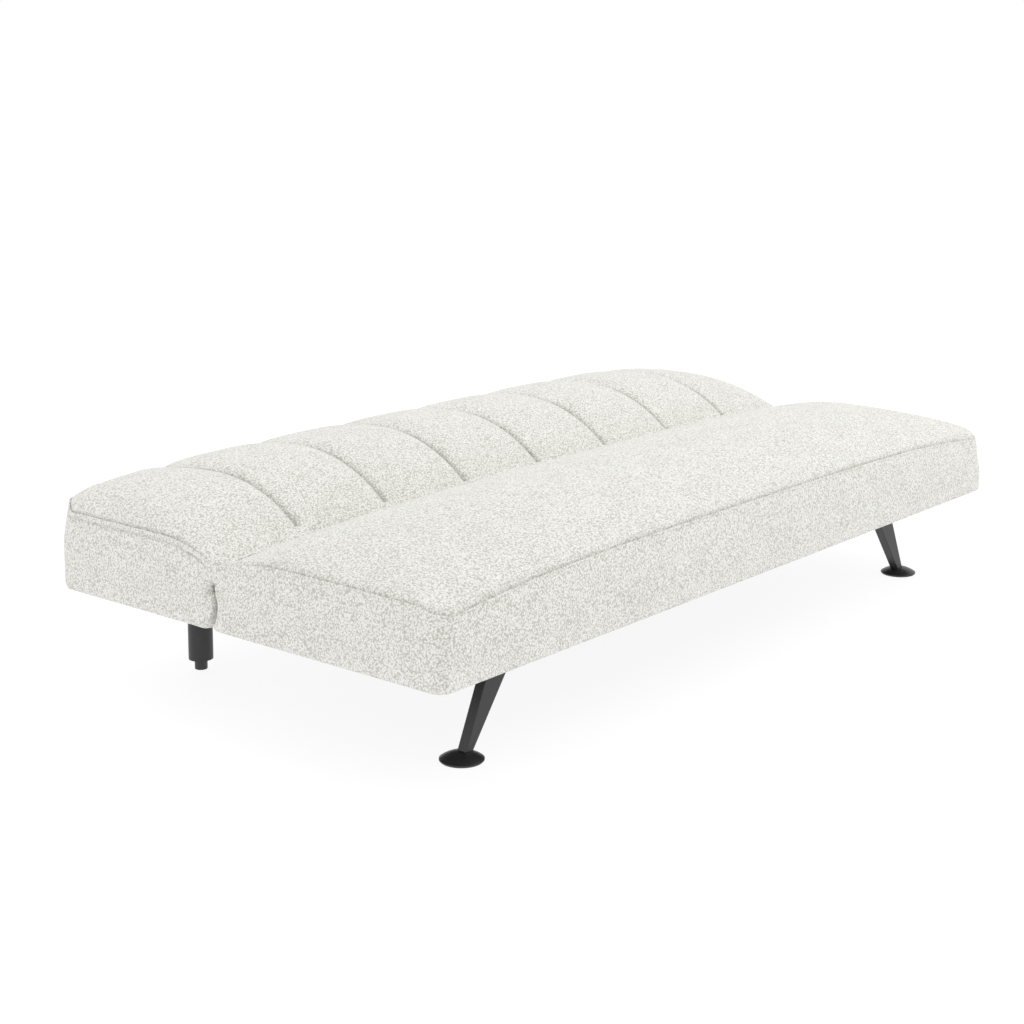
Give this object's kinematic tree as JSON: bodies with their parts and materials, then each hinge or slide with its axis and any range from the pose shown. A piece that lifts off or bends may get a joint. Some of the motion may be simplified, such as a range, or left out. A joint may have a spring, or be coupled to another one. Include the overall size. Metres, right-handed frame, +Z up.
{
  "type": "sofa bed",
  "caption": "Armless click-clack sofa bed shown flat: crowned boucle seat, channelled folding back, splayed black front legs, upright tubular rear legs and ratchet hinges.",
  "frame": {"origin": "centre of the flat bed on the floor", "axes": "+X along the length to the right seen from the front, -Y towards the front, +Z up"},
  "size_m": [1.8, 0.95, 0.403],
  "materials": {
    "boucle": "looped boucle cloth",
    "foam": "open cell foam",
    "dust_cloth": "black non-woven cloth",
    "black_metal": "satin black powder coat",
    "black_plastic": "moulded black plastic",
    "rubber": "black rubber",
    "steel": "zinc plated steel",
    "pine": "sawn pine"
  },
  "bodies": {
    "seat_base": {"back_rest_pads": "rubber", "base_cross_tube_front": "black_metal", "base_cross_tube_rear": "black_metal", "base_rail_bolts": "steel", "base_rail_caps": "black_plastic", "base_rail_left": "black_metal", "base_rail_right": "black_metal", "front_foot_left": "black_plastic", "front_foot_right": "black_plastic", "front_leg_left": "black_metal", "front_leg_plate_left": "black_metal", "front_leg_plate_right": "black_metal", "front_leg_right": "black_metal", "front_leg_screws": "steel", "hinge_pin_left": "steel", "hinge_pin_right": "steel", "hinge_post_left": "black_metal", "hinge_post_right": "black_metal", "hinge_washers": "steel", "pawl_pins": "steel", "pawl_springs": "steel", "rear_leg_left": "black_metal", "rear_leg_plug_left": "black_plastic", "rear_leg_plug_right": "black_plastic", "rear_leg_right": "black_metal", "seat_centre_rail": "pine", "seat_cover": "boucle", "seat_dust_cover": "dust_cloth", "seat_end_rail_left": "pine", "seat_end_rail_right": "pine", "seat_foam": "foam", "seat_front_rail": "pine", "seat_leg_blocks": "pine", "seat_mount_rail_left": "pine", "seat_mount_rail_right": "pine", "seat_rail_pads": "rubber", "seat_rear_rail": "pine", "seat_spring_clips": "steel", "seat_springs": "steel", "seat_welt": "boucle"},
    "backrest": {"back_centre_rail": "pine", "back_cover": "boucle", "back_dust_cover": "dust_cloth", "back_end_rail_left": "pine", "back_end_rail_right": "pine", "back_foam": "foam", "back_front_rail": "pine", "back_mount_rail_left": "pine", "back_mount_rail_right": "pine", "back_rear_rail": "pine", "back_spring_clips": "steel", "back_springs": "steel", "back_welt": "boucle", "hinge_arm_bolts": "steel", "hinge_arm_left": "steel", "hinge_arm_right": "steel"},
    "pawl_left": {"pawl_left": "steel"},
    "pawl_right": {"pawl_right": "steel"},
    "rear_foot_left": {"rear_foot_left": "black_plastic"},
    "rear_foot_right": {"rear_foot_right": "black_plastic"}
  },
  "joints": [
    {"name": "backrest_fold", "type": "hinge", "parent": "seat_base", "child": "backrest", "pos_m": [0, 0.04, 0.29], "axis": [1, 0, 0], "range_deg": [0, 72]},
    {"name": "pawl_left_turn", "type": "hinge", "parent": "seat_base", "child": "pawl_left", "pos_m": [-0.7156, 0.01435, 0.21952], "axis": [1, 0, 0], "range_deg": [0, 14]},
    {"name": "pawl_right_turn", "type": "hinge", "parent": "seat_base", "child": "pawl_right", "pos_m": [0.7156, 0.01435, 0.21952], "axis": [1, 0, 0], "range_deg": [0, 14]},
    {"name": "rear_foot_left_level", "type": "slide", "parent": "seat_base", "child": "rear_foot_left", "axis": [0, 0, -1], "range_m": [0, 0.012]},
    {"name": "rear_foot_right_level", "type": "slide", "parent": "seat_base", "child": "rear_foot_right", "axis": [0, 0, -1], "range_m": [0, 0.012]}
  ]
}
